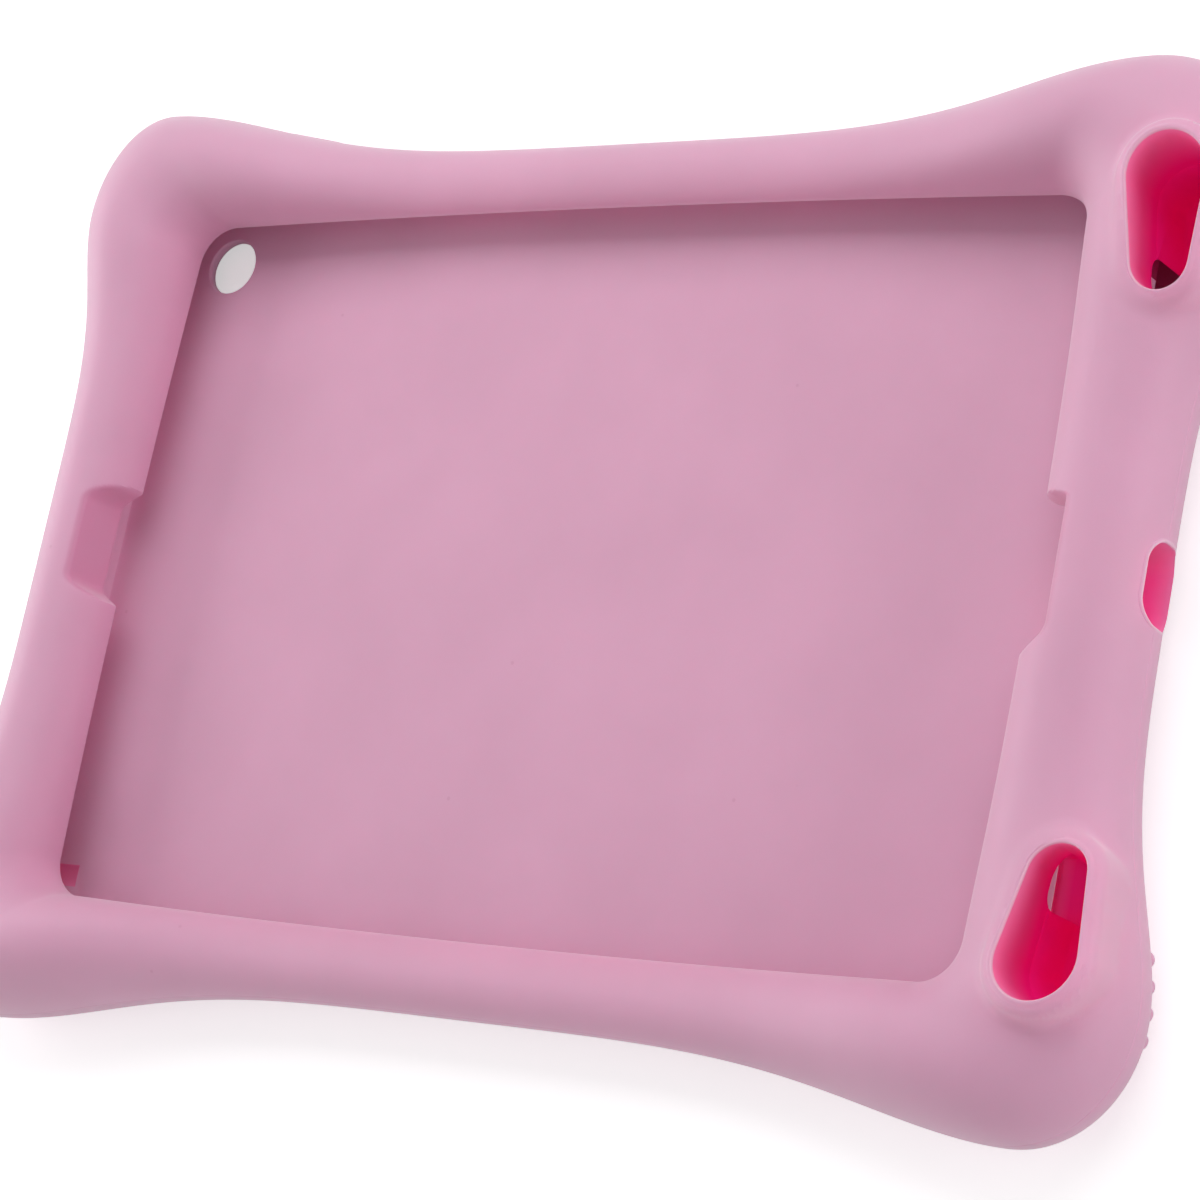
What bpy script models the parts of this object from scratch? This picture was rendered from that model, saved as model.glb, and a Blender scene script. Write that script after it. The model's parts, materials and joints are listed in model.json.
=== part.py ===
"""One-piece silicone rubber case for a 10.2 inch class tablet, lying on its back with the open front up.

Metres, +Z up. X runs along the long side, with the charging-port end at +X. The origin is at the middle of
the footprint, on the surface that the case lies on.
"""

import math

import bmesh
import bpy
from mathutils import Vector
from mathutils.bvhtree import BVHTree

# Pocket for the device
DEVICE_LENGTH = 0.2506
DEVICE_WIDTH = 0.1741
DEVICE_THICKNESS = 0.0075
DEVICE_CORNER_RADIUS = 0.010
POCKET_CLEARANCE = 0.0003
BACK_WALL = 0.0034

# Window in the front, and the lip that holds the device in
LIP_SHORT_SIDE = 0.0110
LIP_LONG_SIDE = 0.0073
LIP_THICKNESS = 0.0010
WINDOW_CORNER_RADIUS = 0.009
WINDOW_BOW = 0.0012

# Padded rim: how far it stands out past the pocket, and how high above the glass
RIM_OUT_LONG_SIDE = 0.0090
RIM_OUT_PLAIN_END = 0.0136
RIM_OUT_PORT_END = 0.0148
CORNER_OUT_LONG_SIDE = 0.0204
CORNER_OUT_PLAIN_END = 0.0206
CORNER_OUT_PORT_END = 0.0242
CORNER_ARC_Y = 0.0262
CORNER_ARC_PLAIN_END = 0.0190
CORNER_ARC_PORT_END = 0.0236
CROWN_LONG_SIDE = 0.0050
CROWN_SHORT_SIDE = 0.0118
CROWN_CORNER = 0.0158
CROWN_PLACE = 0.50
CROWN_SQUARENESS = 1.95
WIDEST_BELOW_GLASS = 0.0022
SWELL_LONG_SIDE = 2.05
SWELL_PLAIN_END = 2.34
SWELL_PORT_END = 2.02
UNDERSIDE_ROUND = 0.0144
UNDERSIDE_SQUARENESS = 2.4

# Corner bulbs reach below the back plate, and carry the grip ribs that the case lies on
CORNER_DROP = 0.0012
FOOT_WIDTH = 0.0080
FOOT_SLOPE = 0.0060
RIB_HEIGHT = 0.0012
RIB_RADIUS = 0.0018
RIB_PITCH = 0.0050
RIB_INSET = 0.0178
RIB_COUNT = 4
RIB_AXIS_OUT = 0.0050
RIB_INNER_ANGLE = 25
RIB_OUTER_ANGLE = 76

# Sound wells beside the device's end at the port side
WELL_OUT = 0.0107
WELL_INSET = 0.0116
WELL_LENGTH = 0.0160
WELL_NARROW_RADIUS = 0.0060
WELL_WIDE_RADIUS = 0.0082
WELL_NARROW_TOP = 0.0146
WELL_WIDE_TOP = 0.0176
WELL_DRAFT = 0.0016
WELL_FLOOR_ROUND = 0.0030
WELL_FLOOR_WALL = 0.0028
COLLAR_WIDTH = 0.0012
COLLAR_HEIGHT = 0.0005
BOSS_WALL = 0.0022
BOSS_ROUND = 0.0014
BOSS_DEPTH = 0.0120
CHANNEL_WIDTH = 0.0120
CHANNEL_OFFSET = 0.0018
CHANNEL_ROOF = 0.0050
CHANNEL_FLOOR = 0.0080
CHANNEL_ARCH = 0.0030

# Charging port in the middle of the +X end
PORT_WIDTH = 0.0162
PORT_HEIGHT = 0.0126
PORT_CORNER = 0.0048
PORT_COLLAR_WIDTH = 0.0011
PORT_COLLAR_HEIGHT = 0.0007

# Notches in the lip, for the front camera at -X and the home button at +X
CAMERA_NOTCH_DEPTH = 0.0072
CAMERA_NOTCH_FOOT = 0.0208
CAMERA_NOTCH_MOUTH = 0.0278
CAMERA_NOTCH_SHIFT = 0.0010
HOME_NOTCH_DEPTH = 0.0080
HOME_NOTCH_FOOT = 0.0250
HOME_NOTCH_MOUTH = 0.0340
NOTCH_ROUND = 0.0030
NOTCH_DRAFT = 0.0018

# Openings and pads at the -X end and on the +Y side
LENS_RADIUS = 0.0065
LENS_FLARE = 0.0020
LENS_INSET = 0.0135
JACK_RADIUS = 0.0045
JACK_INSET = 0.0135
PAD_RISE = 0.0008
PAD_THICKNESS = 0.0022
POWER_PAD_LENGTH = 0.0140
POWER_PAD_INSET = 0.0230
VOLUME_PAD_LENGTH = 0.0220
VOLUME_PAD_INSET = 0.0350
PAD_HEIGHT = 0.0050

# Facets
LONG_STEPS = 9
END_STEPS_PLAIN = 8
END_STEPS_PORT = 20
CORNER_STEPS = 10
LIP_STEPS = 6
CROWN_STEPS = 7
UNDER_STEPS = 4
ARC_STEPS = 12
RIB_SIDES = 8
RIB_STEPS = 9
OVERSHOOT = 0.010

POCKET_X = DEVICE_LENGTH / 2 + POCKET_CLEARANCE
POCKET_Y = DEVICE_WIDTH / 2 + POCKET_CLEARANCE
POCKET_ROUND = DEVICE_CORNER_RADIUS + POCKET_CLEARANCE
WINDOW_X = DEVICE_LENGTH / 2 - LIP_SHORT_SIDE
WINDOW_Y = DEVICE_WIDTH / 2 - LIP_LONG_SIDE
PLATE_Z = RIB_HEIGHT + CORNER_DROP
FLOOR_Z = PLATE_Z + BACK_WALL
GLASS_Z = FLOOR_Z + DEVICE_THICKNESS + POCKET_CLEARANCE
WIDEST_Z = GLASS_Z - WIDEST_BELOW_GLASS
PORT_Z = WIDEST_Z
MID_DEVICE_Z = FLOOR_Z + DEVICE_THICKNESS / 2
PLAIN_END_X = POCKET_X + CORNER_OUT_PLAIN_END
PORT_END_X = POCKET_X + CORNER_OUT_PORT_END
LONG_SIDE_Y = POCKET_Y + CORNER_OUT_LONG_SIDE
PLAIN_END = (PLAIN_END_X, CORNER_ARC_PLAIN_END, RIM_OUT_PLAIN_END, SWELL_PLAIN_END)
PORT_END = (PORT_END_X, CORNER_ARC_PORT_END, RIM_OUT_PORT_END, SWELL_PORT_END)
WELL_X = POCKET_X + WELL_OUT
WELL_WIDE_Y = POCKET_Y - WELL_INSET
WELL_NARROW_Y = WELL_WIDE_Y - WELL_LENGTH
TOP_Z = GLASS_Z + max(CROWN_CORNER, WELL_WIDE_TOP) + OVERSHOOT


def swell(share, power):
    """0 at the middle of a side and 1 at its corner, level at both ends."""
    return (1 - math.cos(math.pi * share**power)) / 2


def mix(low, high, share):
    return low + (high - low) * share


def quarter_turn(step, steps, squareness):
    """Point (along, up) of a squared quarter arc that runs from (1, 0) to (0, 1)."""
    angle = math.pi / 2 * step / steps
    power = 2 / squareness
    return max(math.cos(angle), 0) ** power, math.sin(angle) ** power


def rounded(half_x, half_y, radius, share_x, share_y, angle):
    """Point of a rounded rectangle's quarter: on its long side, its short side or its corner arc."""
    if angle is None:
        along_long = share_y == 1
        x = (half_x - radius) * share_x if along_long else half_x
        y = half_y if along_long else (half_y - radius) * share_y
        return Vector((x, y))
    x = half_x - radius + radius * math.cos(angle)
    y = half_y - radius + radius * math.sin(angle)
    return Vector((x, y))


def station(end, share_x, share_y, angle=None):
    """One place round the case: its pocket, window and outer points, and how much it belongs to a corner."""
    end_x, arc_x, rim_out, end_swell = end
    pocket = rounded(POCKET_X, POCKET_Y, POCKET_ROUND, share_x, share_y, angle)
    window = rounded(WINDOW_X, WINDOW_Y, WINDOW_CORNER_RADIUS, share_x, share_y, angle)
    middle_x = end_x - arc_x
    middle_y = LONG_SIDE_Y - CORNER_ARC_Y
    if angle is not None:
        weight = 1
        side_crown = CROWN_CORNER
        outer = Vector((middle_x + arc_x * math.cos(angle), middle_y + CORNER_ARC_Y * math.sin(angle)))
    elif share_y == 1:
        weight = swell(share_x, SWELL_LONG_SIDE)
        side_crown = CROWN_LONG_SIDE
        outer = Vector((middle_x * share_x, mix(POCKET_Y + RIM_OUT_LONG_SIDE, LONG_SIDE_Y, weight)))
        window.y += WINDOW_BOW * (1 - share_x**2)
    else:
        weight = swell(share_y, end_swell)
        side_crown = CROWN_SHORT_SIDE
        outer = Vector((mix(POCKET_X + rim_out, end_x, weight), middle_y * share_y))
        window.x += WINDOW_BOW * (1 - share_y**2)
    crown = mix(side_crown, CROWN_CORNER, weight)
    return pocket, window, outer, weight, crown


def quarter(end, short_steps):
    """Stations from the middle of a long side, round the corner, to the middle of one end."""
    stations = [station(end, i / LONG_STEPS, 1) for i in range(LONG_STEPS)]
    for i in range(CORNER_STEPS + 1):
        angle = math.pi / 2 * (1 - i / CORNER_STEPS)
        stations.append(station(end, 1, 1, angle))
    stations += [station(end, 1, 1 - i / short_steps) for i in range(1, short_steps + 1)]
    return stations


def section(stations, sign_x, sign_y):
    """Points of each station, from the pocket's floor over the rim and round to the back plate."""
    found = []
    for pocket, window, outer, weight, crown in stations:
        top_z = GLASS_Z + crown
        lip_z = GLASS_Z + LIP_THICKNESS
        foot_z = mix(PLATE_Z, RIB_HEIGHT, weight)
        inward = (window - outer).normalized()
        points = [(pocket, FLOOR_Z), (pocket, GLASS_Z), (window, GLASS_Z), (window, lip_z)]
        for step in range(1, LIP_STEPS + 1):
            along, up = quarter_turn(step, LIP_STEPS, 2)
            place = window.lerp(outer, CROWN_PLACE * (1 - along))
            points.append((place, mix(lip_z, top_z, up)))
        for step in range(1, CROWN_STEPS + 1):
            up, along = quarter_turn(step, CROWN_STEPS, CROWN_SQUARENESS)
            place = window.lerp(outer, mix(CROWN_PLACE, 1, along))
            points.append((place, mix(WIDEST_Z, top_z, up)))
        for step in range(1, UNDER_STEPS + 1):
            along, down = quarter_turn(step, UNDER_STEPS, UNDERSIDE_SQUARENESS)
            place = outer + inward * UNDERSIDE_ROUND * (1 - along)
            points.append((place, mix(WIDEST_Z, foot_z, down)))
        foot = outer + inward * (UNDERSIDE_ROUND + FOOT_WIDTH)
        points.append((foot, foot_z))
        points.append((foot + inward * FOOT_SLOPE / 2, mix(foot_z, PLATE_Z, 0.5)))
        points.append((foot + inward * FOOT_SLOPE, PLATE_Z))
        found.append([Vector((p.x * sign_x, p.y * sign_y, z)) for p, z in points])
    return found


def well_top(y):
    """Height of the plane that a well's mouth lies in."""
    share = (abs(y) - WELL_NARROW_Y) / WELL_LENGTH
    return GLASS_Z + mix(WELL_NARROW_TOP, WELL_WIDE_TOP, share)


def skin(bm, loops, ring=False):
    """Faces between loops of equally many points. The first and last loop are filled, or joined in a ring."""
    rows = [[bm.verts.new(point) for point in loop] for loop in loops]
    if ring:
        rows.append(rows[0])
    for lower, upper in zip(rows, rows[1:]):
        for i in range(len(lower)):
            j = (i + 1) % len(lower)
            bm.faces.new((lower[i], lower[j], upper[j], upper[i]))
    if not ring:
        bm.faces.new(rows[0])
        bm.faces.new(rows[-1])


def new_object(name, bm):
    bmesh.ops.recalc_face_normals(bm, faces=bm.faces)
    mesh = bpy.data.meshes.new(name)
    bm.to_mesh(mesh)
    bm.free()
    obj = bpy.data.objects.new(name, mesh)
    bpy.context.scene.collection.objects.link(obj)
    obj.parent = bpy.data.objects["middle"]
    return obj


def lofted(name, loops, ring=False):
    bm = bmesh.new()
    skin(bm, loops, ring)
    return new_object(name, bm)


def case_blank():
    """The rim, lip, pocket and back plate, before holes are cut."""
    plain = quarter(PLAIN_END, END_STEPS_PLAIN)
    port = quarter(PORT_END, END_STEPS_PORT)
    columns = section(port, 1, 1) + section(port[::-1], 1, -1)[1:]
    columns += section(plain, -1, -1)[1:] + section(plain[::-1], -1, 1)[1:-1]
    return lofted("case_body", list(zip(*columns)))


def pill(side, grow, narrow_shift=0):
    """Plan outline of a well: two arcs joined by straight sides, grown by a distance."""
    narrow_y = WELL_NARROW_Y + narrow_shift
    narrow_radius = WELL_NARROW_RADIUS + grow
    wide_radius = WELL_WIDE_RADIUS + grow
    lean = math.asin((wide_radius - narrow_radius) / (WELL_WIDE_Y - narrow_y))
    points = []
    for y, radius, start, end in (
        (WELL_WIDE_Y, wide_radius, -lean, math.pi + lean),
        (narrow_y, narrow_radius, math.pi + lean, 2 * math.pi - lean),
    ):
        for step in range(ARC_STEPS + 1):
            angle = mix(start, end, step / ARC_STEPS)
            points.append((WELL_X + radius * math.cos(angle), side * (y + radius * math.sin(angle))))
    return points


def well_cutter(side):
    """The well itself: drafted walls and a rounded floor."""
    floor_z = RIB_HEIGHT + WELL_FLOOR_WALL
    loops = [
        [(x, y, TOP_Z) for x, y in pill(side, WELL_DRAFT / 2)],
        [(x, y, floor_z + WELL_FLOOR_ROUND) for x, y in pill(side, -WELL_DRAFT)],
        [(x, y, floor_z + WELL_FLOOR_ROUND * 0.3) for x, y in pill(side, -WELL_DRAFT - WELL_FLOOR_ROUND * 0.3)],
        [(x, y, floor_z) for x, y in pill(side, -WELL_DRAFT - WELL_FLOOR_ROUND)],
    ]
    return lofted("well_cutter", loops)


def well_boss(side):
    """A solid boss with steep sides, and the low collar on its top: the well is then cut through both."""
    loops = []
    for grow, rise in (
        (0, -BOSS_DEPTH),
        (BOSS_WALL, -BOSS_DEPTH / 2),
        (BOSS_WALL, -BOSS_ROUND),
        (BOSS_WALL - 0.3 * BOSS_ROUND, -0.3 * BOSS_ROUND),
        (COLLAR_WIDTH, 0),
        (COLLAR_WIDTH - COLLAR_HEIGHT / 3, COLLAR_HEIGHT),
        (0, COLLAR_HEIGHT),
    ):
        loops.append([(x, y, well_top(y) + rise) for x, y in pill(side, grow)])
    return lofted("well_boss", loops)


def arch(half_width, low, high, radius):
    """Upright outline with square feet and two rounded top corners."""
    points = [(-half_width, low), (half_width, low)]
    for start, sign in ((0, 1), (math.pi / 2, -1)):
        for step in range(ARC_STEPS // 2 + 1):
            angle = start + math.pi * step / ARC_STEPS
            across = sign * (half_width - radius) + radius * math.cos(angle)
            points.append((across, high - radius + radius * math.sin(angle)))
    return points


def channel_cutter(side):
    """Opening from the pocket's end into the well, where the sound comes out."""
    middle_y = side * (WELL_NARROW_Y - CHANNEL_OFFSET)
    outline = arch(CHANNEL_WIDTH / 2, GLASS_Z - CHANNEL_FLOOR, GLASS_Z + CHANNEL_ROOF, CHANNEL_ARCH)
    inner_x = POCKET_X - POCKET_CLEARANCE
    loops = [[(x, middle_y + y, z) for y, z in outline] for x in (inner_x, WELL_X)]
    return lofted("channel_cutter", loops)


def port_outline(grow):
    """Outline of the port, grown by a distance: a rectangle with round corners, centred on 0."""
    radius = PORT_CORNER + grow
    half_y = PORT_WIDTH / 2 - PORT_CORNER
    half_z = PORT_HEIGHT / 2 - PORT_CORNER
    points = []
    for corner, (sign_y, sign_z) in enumerate(((1, 1), (-1, 1), (-1, -1), (1, -1))):
        for step in range(ARC_STEPS // 2 + 1):
            angle = math.pi / 2 * (corner + 2 * step / ARC_STEPS)
            across = sign_y * half_y + radius * math.cos(angle)
            points.append((across, sign_z * half_z + radius * math.sin(angle)))
    return points


def port_cutter():
    outline = port_outline(0)
    ends = (POCKET_X - BACK_WALL, PORT_END_X + OVERSHOOT)
    return lofted("port_cutter", [[(x, y, PORT_Z + z) for y, z in outline] for x in ends])


def port_collar(tree):
    """A narrow raised ring round the port, which follows the rim's outer side."""
    loops = []
    for grow, rise in (
        (PORT_COLLAR_WIDTH, -PORT_COLLAR_WIDTH),
        (PORT_COLLAR_WIDTH, PORT_COLLAR_HEIGHT / 2),
        (PORT_COLLAR_WIDTH * 0.6, PORT_COLLAR_HEIGHT),
        (-POCKET_CLEARANCE, PORT_COLLAR_HEIGHT),
        (-POCKET_CLEARANCE, -PORT_COLLAR_WIDTH),
    ):
        loop = []
        for y, z in port_outline(grow):
            start = Vector((POCKET_X + BACK_WALL, y, PORT_Z + z))
            place = surface_hit(tree, start, Vector((1, 0, 0)))
            loop.append(place + Vector((rise, 0, 0)))
        loops.append(loop)
    return lofted("port_collar", loops, ring=True)


def notch_outline(depth, foot, mouth):
    """Plan outline of a lip notch, measured outwards from the window's edge: (outward, y)."""
    corners = [
        (-OVERSHOOT, -mouth / 2),
        (0, -mouth / 2),
        (depth, -foot / 2),
        (depth, foot / 2),
        (0, mouth / 2),
        (-OVERSHOOT, mouth / 2),
    ]
    points = [corners[0]]
    for before, corner, after in zip(corners, corners[1:], corners[2:]):
        corner = Vector(corner)
        start = corner + (Vector(before) - corner).normalized() * NOTCH_ROUND
        end = corner + (Vector(after) - corner).normalized() * NOTCH_ROUND
        for step in range(ARC_STEPS // 3 + 1):
            share = step / (ARC_STEPS // 3)
            points.append(start.lerp(corner, share).lerp(corner.lerp(end, share), share))
    points.append(corners[-1])
    return points


def notch_cutter(side, depth, foot, mouth, shift=0):
    loops = []
    for z in (GLASS_Z - POCKET_CLEARANCE, TOP_Z):
        open_up = NOTCH_DRAFT * (z - GLASS_Z) / CROWN_SHORT_SIDE
        outline = notch_outline(depth + open_up, foot + open_up, mouth + open_up)
        loops.append([(side * (WINDOW_X + out), y + shift, z) for out, y in outline])
    return lofted("notch_cutter", loops)


def circle(radius):
    steps = 2 * ARC_STEPS
    angles = [2 * math.pi * step / steps for step in range(steps)]
    return [(radius * math.cos(angle), radius * math.sin(angle)) for angle in angles]


def lens_cutter():
    """Hole for the rear camera, flared towards the back."""
    x0 = -DEVICE_LENGTH / 2 + LENS_INSET
    y0 = DEVICE_WIDTH / 2 - LENS_INSET
    loops = []
    middle_z = (PLATE_Z + FLOOR_Z) / 2
    for grow, z in ((LENS_FLARE, PLATE_Z - BACK_WALL / 2), (0, middle_z), (0, FLOOR_Z + BACK_WALL)):
        loops.append([(x0 + x, y0 + y, z) for x, y in circle(LENS_RADIUS + grow)])
    return lofted("lens_cutter", loops)


def jack_cutter():
    """Hole for a headphone plug, through the -X end."""
    y0 = -DEVICE_WIDTH / 2 + JACK_INSET
    inner_x = -POCKET_X + POCKET_ROUND
    outer_x = -PLAIN_END_X - OVERSHOOT
    outline = circle(JACK_RADIUS)
    loops = [[(x, y0 + y, MID_DEVICE_Z + z) for y, z in outline] for x in (inner_x, outer_x)]
    return lofted("jack_cutter", loops)


def surface_hit(tree, start, direction):
    return tree.ray_cast(start, direction)[0]


def button_pad(tree, start, direction, length):
    """A low oval pad over a button, seated on the rim's outer side."""
    place = surface_hit(tree, start, direction)
    bm = bmesh.new()
    bmesh.ops.create_uvsphere(bm, u_segments=20, v_segments=10, radius=1)
    across = Vector((-direction.y, direction.x, 0))
    for vert in bm.verts:
        out, along, up = vert.co.x, vert.co.y, vert.co.z
        local = direction * out * PAD_THICKNESS + across * along * length / 2
        vert.co = place + direction * (PAD_RISE - PAD_THICKNESS) + local + Vector((0, 0, up * PAD_HEIGHT / 2))
    return new_object("button_pad", bm)


def grip_rib(tree, side_x, y):
    """A half-sunk rib that follows the underside of a corner bulb, in a plane across the case."""
    start = Vector((side_x * (POCKET_X + RIB_AXIS_OUT), y, WIDEST_Z))
    path = []
    for step in range(RIB_STEPS + 1):
        angle = math.radians(mix(-RIB_INNER_ANGLE, RIB_OUTER_ANGLE, step / RIB_STEPS))
        direction = Vector((side_x * math.sin(angle), 0, -math.cos(angle)))
        place = surface_hit(tree, start, direction)
        path.append(place - direction * (RIB_RADIUS - RIB_HEIGHT))
    loops = []
    for i, place in enumerate(path):
        along = (path[min(i + 1, RIB_STEPS)] - path[max(i - 1, 0)]).normalized()
        outward = along.cross(Vector((0, 1, 0))).normalized()
        radius = RIB_RADIUS * (0.4 if i in (0, RIB_STEPS) else 1)
        loop = []
        for spoke in range(RIB_SIDES):
            angle = 2 * math.pi * spoke / RIB_SIDES
            loop.append(place + outward * radius * math.cos(angle) + Vector((0, radius * math.sin(angle), 0)))
        loops.append(loop)
    return lofted("grip_rib", loops)


def combine(target, helper, operation):
    modifier = target.modifiers.new(helper.name, "BOOLEAN")
    modifier.object = helper
    modifier.operation = operation
    modifier.solver = "EXACT"
    helper.hide_render = True
    helper.display_type = "WIRE"


def silicone():
    material = bpy.data.materials.new("pink_silicone")
    material.use_nodes = True
    shader = material.node_tree.nodes["Principled BSDF"]
    shader.inputs["Base Color"].default_value = (0.70, 0.33, 0.50, 1)
    shader.inputs["Roughness"].default_value = 0.55
    shader.inputs["Metallic"].default_value = 0
    return material


def main():
    for obj in list(bpy.data.objects):
        bpy.data.objects.remove(obj, do_unlink=True)
    middle = bpy.data.objects.new("middle", None)
    bpy.context.scene.collection.objects.link(middle)
    middle.location.x = (PLAIN_END_X - PORT_END_X) / 2
    case = case_blank()
    bpy.context.view_layer.update()
    tree = BVHTree.FromObject(case, bpy.context.evaluated_depsgraph_get())

    for side_x in (1, -1):
        for side_y in (1, -1):
            for index in range(RIB_COUNT):
                y = side_y * (POCKET_Y - RIB_INSET + index * RIB_PITCH)
                combine(case, grip_rib(tree, side_x, y), "UNION")

    pad_z = Vector((0, 0, MID_DEVICE_Z))
    power_start = Vector((-POCKET_X - BACK_WALL, DEVICE_WIDTH / 2 - POWER_PAD_INSET, 0)) + pad_z
    volume_start = Vector((-DEVICE_LENGTH / 2 + VOLUME_PAD_INSET, POCKET_Y + BACK_WALL, 0)) + pad_z
    combine(case, button_pad(tree, power_start, Vector((-1, 0, 0)), POWER_PAD_LENGTH), "UNION")
    combine(case, button_pad(tree, volume_start, Vector((0, 1, 0)), VOLUME_PAD_LENGTH), "UNION")

    combine(case, port_collar(tree), "UNION")
    combine(case, port_cutter(), "DIFFERENCE")

    for side in (1, -1):
        combine(case, well_boss(side), "UNION")
        combine(case, well_cutter(side), "DIFFERENCE")
        combine(case, channel_cutter(side), "DIFFERENCE")
    camera_size = (CAMERA_NOTCH_DEPTH, CAMERA_NOTCH_FOOT, CAMERA_NOTCH_MOUTH)
    camera_notch = notch_cutter(-1, *camera_size, CAMERA_NOTCH_SHIFT)
    combine(case, camera_notch, "DIFFERENCE")
    home_notch = notch_cutter(1, HOME_NOTCH_DEPTH, HOME_NOTCH_FOOT, HOME_NOTCH_MOUTH)
    combine(case, home_notch, "DIFFERENCE")
    combine(case, lens_cutter(), "DIFFERENCE")
    combine(case, jack_cutter(), "DIFFERENCE")

    case.data.materials.append(silicone())
    case.data.shade_smooth()
    case.data.set_sharp_from_angle(angle=math.radians(35))


main()
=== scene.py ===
import json
import math

import bmesh
import bpy
from mathutils import Matrix, Vector
from mathutils.bvhtree import BVHTree

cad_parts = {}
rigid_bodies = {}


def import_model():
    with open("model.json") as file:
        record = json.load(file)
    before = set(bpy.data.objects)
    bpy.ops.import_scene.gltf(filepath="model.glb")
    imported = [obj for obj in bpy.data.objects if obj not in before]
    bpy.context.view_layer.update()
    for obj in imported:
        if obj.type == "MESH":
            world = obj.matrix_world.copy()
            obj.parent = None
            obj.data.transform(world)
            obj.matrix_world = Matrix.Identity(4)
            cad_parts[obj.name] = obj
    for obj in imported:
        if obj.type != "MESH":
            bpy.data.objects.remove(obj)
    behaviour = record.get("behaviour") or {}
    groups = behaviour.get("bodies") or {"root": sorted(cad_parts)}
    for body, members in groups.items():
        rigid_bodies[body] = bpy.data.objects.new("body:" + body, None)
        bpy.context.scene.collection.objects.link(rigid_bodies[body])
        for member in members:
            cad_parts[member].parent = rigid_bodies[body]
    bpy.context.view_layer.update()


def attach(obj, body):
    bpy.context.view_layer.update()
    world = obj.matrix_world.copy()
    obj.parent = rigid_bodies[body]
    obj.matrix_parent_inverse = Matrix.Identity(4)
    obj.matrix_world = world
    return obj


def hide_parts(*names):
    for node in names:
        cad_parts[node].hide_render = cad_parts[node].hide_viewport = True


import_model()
print("frame loaded")

# The case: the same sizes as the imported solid, with more facets and rounded edges
case = {
    "pocketX": 125.6, "pocketY": 87.35, "pocketRound": 10.3,
    "windowX": 114.3, "windowY": 79.75, "windowRound": 9.0, "windowBow": 1.2,
    "footZ": 1.2, "plateZ": 2.4, "floorZ": 5.8, "glassZ": 13.6, "widestZ": 11.4,
    "seamRise": 1.7, "seamHalf": 0.13, "seamDepth": 0.12,
    "lipThickness": 1.0, "lipEdge": 0.3, "floorFillet": 0.8, "floorInset": 4.0,
    "longSideY": 107.74, "longRimY": 96.35, "arcY": 26.2, "longSwell": 2.05,
    "crownLong": 5.0, "crownEnd": 11.8, "crownPower": 1.25, "crownPlace": 0.5, "crownSquare": 1.95,
    "underRound": 14.4, "underSquare": 2.4, "footWidth": 8.0, "footSlope": 6.0,
    "middleX": -1.8,
    "longPitch": 1.7, "innerRings": 26, "outerRings": 33, "bandRings": 4, "underRings": 13,
}
plainEnd = {"x": 146.2, "arcX": 19.0, "rimX": 139.2, "swell": 2.34, "crown": 16.8, "cornerSteps": 36, "seamFrom": 0,
            "pitches": ((0, 20, 0.5), (20, 81.55, 1.5))}
portEnd = {"x": 149.8, "arcX": 23.6, "rimX": 140.4, "swell": 2.02, "crown": 15.8, "cornerSteps": 84, "seamFrom": 10.2,
           "pitches": ((0, 20, 0.5), (20, 48, 1.4), (48, 81.55, 0.6))}


def mix(low, high, share):
    return low + (high - low) * share


def ease(low, high, value):
    share = min(max((value - low) / (high - low), 0), 1)
    return share * share * (3 - 2 * share)


def softMin(a, b, width):
    h = max(width - abs(a - b), 0) / width
    return min(a, b) - h * h * width / 4


def softMax(a, b, width):
    return -softMin(-a, -b, width)


def swell(share, power):
    return (1 - math.cos(math.pi * share**power)) / 2  # 0 in the middle of a side, 1 at its corner


def quarterArc(share, square):
    angle = math.pi / 2 * share
    return max(math.cos(angle), 0) ** (2 / square), math.sin(angle) ** (2 / square)


def roundedRect(halfX, halfY, radius, shareX, shareY, angle):
    if angle is not None:
        return Vector((halfX - radius + radius * math.cos(angle), halfY - radius + radius * math.sin(angle)))
    if shareY == 1:
        return Vector(((halfX - radius) * shareX, halfY))
    return Vector((halfX, (halfY - radius) * shareY))


def station(end, shareX, shareY, angle=None):
    pocket = roundedRect(case["pocketX"], case["pocketY"], case["pocketRound"], shareX, shareY, angle)
    window = roundedRect(case["windowX"], case["windowY"], case["windowRound"], shareX, shareY, angle)
    middleX = end["x"] - end["arcX"]
    middleY = case["longSideY"] - case["arcY"]
    weight = 1
    sideCrown = end["crown"]
    if angle is not None:
        outer = Vector((middleX + end["arcX"] * math.cos(angle), middleY + case["arcY"] * math.sin(angle)))
    elif shareY == 1:
        weight = swell(shareX, case["longSwell"])
        sideCrown = case["crownLong"]
        outer = Vector((middleX * shareX, mix(case["longRimY"], case["longSideY"], weight)))
        window.y += case["windowBow"] * (1 - shareX**2)
    else:
        weight = swell(shareY, end["swell"])
        sideCrown = case["crownEnd"]
        outer = Vector((mix(end["rimX"], end["x"], weight), middleY * shareY))
        window.x += case["windowBow"] * (1 - shareY**2)
    crown = mix(sideCrown, end["crown"], weight ** case["crownPower"])
    seam = ease(end["seamFrom"] - 1, end["seamFrom"], outer.y)
    return {"pocket": pocket, "window": window, "outer": outer, "weight": weight, "crown": crown, "seam": seam}


def quarterStations(end):
    middleX = end["x"] - end["arcX"]
    middleY = case["longSideY"] - case["arcY"]
    longSteps = round(middleX / case["longPitch"])
    found = [station(end, i / longSteps, 1) for i in range(longSteps)]
    for i in range(end["cornerSteps"] + 1):
        found.append(station(end, 1, 1, math.pi / 2 * (1 - i / end["cornerSteps"])))
    shares = []
    for low, high, pitch in end["pitches"]:
        steps = round((high - low) / pitch)
        shares += [mix(low, high, i / steps) / middleY for i in range(steps)]
    return found + [station(end, 1, share) for share in reversed(shares)]


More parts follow.
